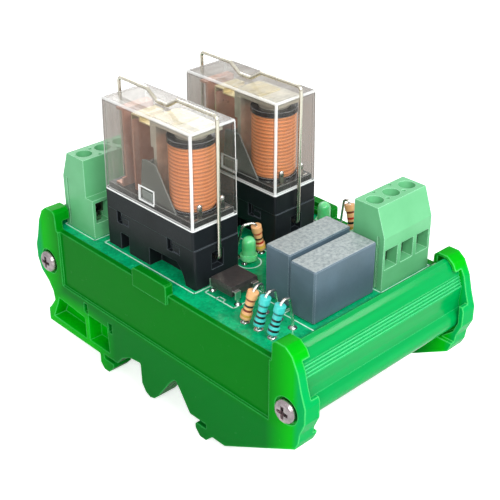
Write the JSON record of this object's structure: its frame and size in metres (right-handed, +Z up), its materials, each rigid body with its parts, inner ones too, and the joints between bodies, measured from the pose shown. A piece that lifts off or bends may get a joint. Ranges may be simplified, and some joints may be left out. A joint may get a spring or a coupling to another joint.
{
  "type": "relay module board",
  "caption": "Rail-mounted relay module: plug-in relays, terminal blocks, capacitors, lamps and resistors on a board in a green clip-on carrier.",
  "frame": {"origin": "middle of the module in X and Y, on the plane that the rail hooks' tips stand on", "axes": "+Z up from the foot to the relays, +X along the rail, +Y across the rail towards the latch arm"},
  "size_m": [0.0544, 0.0878, 0.0677],
  "materials": {
    "carrier_green": "slightly translucent, satin gloss",
    "screw_steel": "zinc plated",
    "board_laminate": "green lacquer over glass laminate",
    "solder": "bright solder",
    "terminal_green": "satin",
    "clamp_steel": "zinc plated",
    "tinned_brass": "tinned",
    "capacitor_grey": "satin",
    "moulding_black": "fine grain",
    "lamp_green": "translucent",
    "resistor_blue": "lacquered, colour bands",
    "resistor_beige": "lacquered, colour bands",
    "socket_grey": "fine grain",
    "wire_steel": "bright spring wire",
    "clear_cover": "clear moulded plastic",
    "winding_copper": "enamelled copper wire",
    "iron": "nickel-plated soft iron",
    "contact_copper": "copper alloy"
  },
  "bodies": {
    "module": {"bridge_rectifier_1": "moulding_black", "bridge_rectifier_2": "moulding_black", "carrier_profile": "carrier_green", "circuit_board": "board_laminate", "control_terminal_clamps": "clamp_steel", "control_terminal_housing": "terminal_green", "control_terminal_pins": "tinned_brass", "control_terminal_screws": "screw_steel", "far_end_plate": "carrier_green", "far_plate_screws": "screw_steel", "film_capacitor_1": "capacitor_grey", "film_capacitor_2": "capacitor_grey", "indicator_lamp_1": "lamp_green", "indicator_lamp_2": "lamp_green", "near_end_plate": "carrier_green", "near_plate_screws": "screw_steel", "output_terminal_clamps": "clamp_steel", "output_terminal_housing": "terminal_green", "output_terminal_pins": "tinned_brass", "output_terminal_screws": "screw_steel", "relay_1_base": "moulding_black", "relay_1_bobbin": "moulding_black", "relay_1_closed_contact": "contact_copper", "relay_1_coil_blades": "tinned_brass", "relay_1_common_terminal": "contact_copper", "relay_1_core": "iron", "relay_1_cover": "clear_cover", "relay_1_open_contact": "contact_copper", "relay_1_retaining_wire": "wire_steel", "relay_1_socket": "socket_grey", "relay_1_socket_clips": "tinned_brass", "relay_1_winding": "winding_copper", "relay_1_yoke": "iron", "relay_2_base": "moulding_black", "relay_2_bobbin": "moulding_black", "relay_2_closed_contact": "contact_copper", "relay_2_coil_blades": "tinned_brass", "relay_2_common_terminal": "contact_copper", "relay_2_core": "iron", "relay_2_cover": "clear_cover", "relay_2_open_contact": "contact_copper", "relay_2_retaining_wire": "wire_steel", "relay_2_socket": "socket_grey", "relay_2_socket_clips": "tinned_brass", "relay_2_winding": "winding_copper", "relay_2_yoke": "iron", "resistor_1": "resistor_beige", "resistor_2": "resistor_blue", "resistor_3": "resistor_blue", "resistor_4": "resistor_beige", "resistor_5": "resistor_beige", "resistor_6": "resistor_beige", "solder_joints": "solder"},
    "relay_1_armature": {"relay_1_armature": "iron", "relay_1_moving_contact": "contact_copper"},
    "relay_2_armature": {"relay_2_armature": "iron", "relay_2_moving_contact": "contact_copper"}
  },
  "joints": [
    {"name": "relay_1_armature_hinge", "type": "hinge", "parent": "module", "child": "relay_1_armature", "pos_m": [-0.0138, 0.0064, 0.06245], "axis": [1, 0, 0], "range_deg": [0, 3], "stiffness_Nm_per_rad": 0.02, "springref_deg": -8.59},
    {"name": "relay_2_armature_hinge", "type": "hinge", "parent": "module", "child": "relay_2_armature", "pos_m": [0.0095, 0.0064, 0.06245], "axis": [1, 0, 0], "range_deg": [0, 3], "stiffness_Nm_per_rad": 0.02, "springref_deg": -8.59}
  ]
}
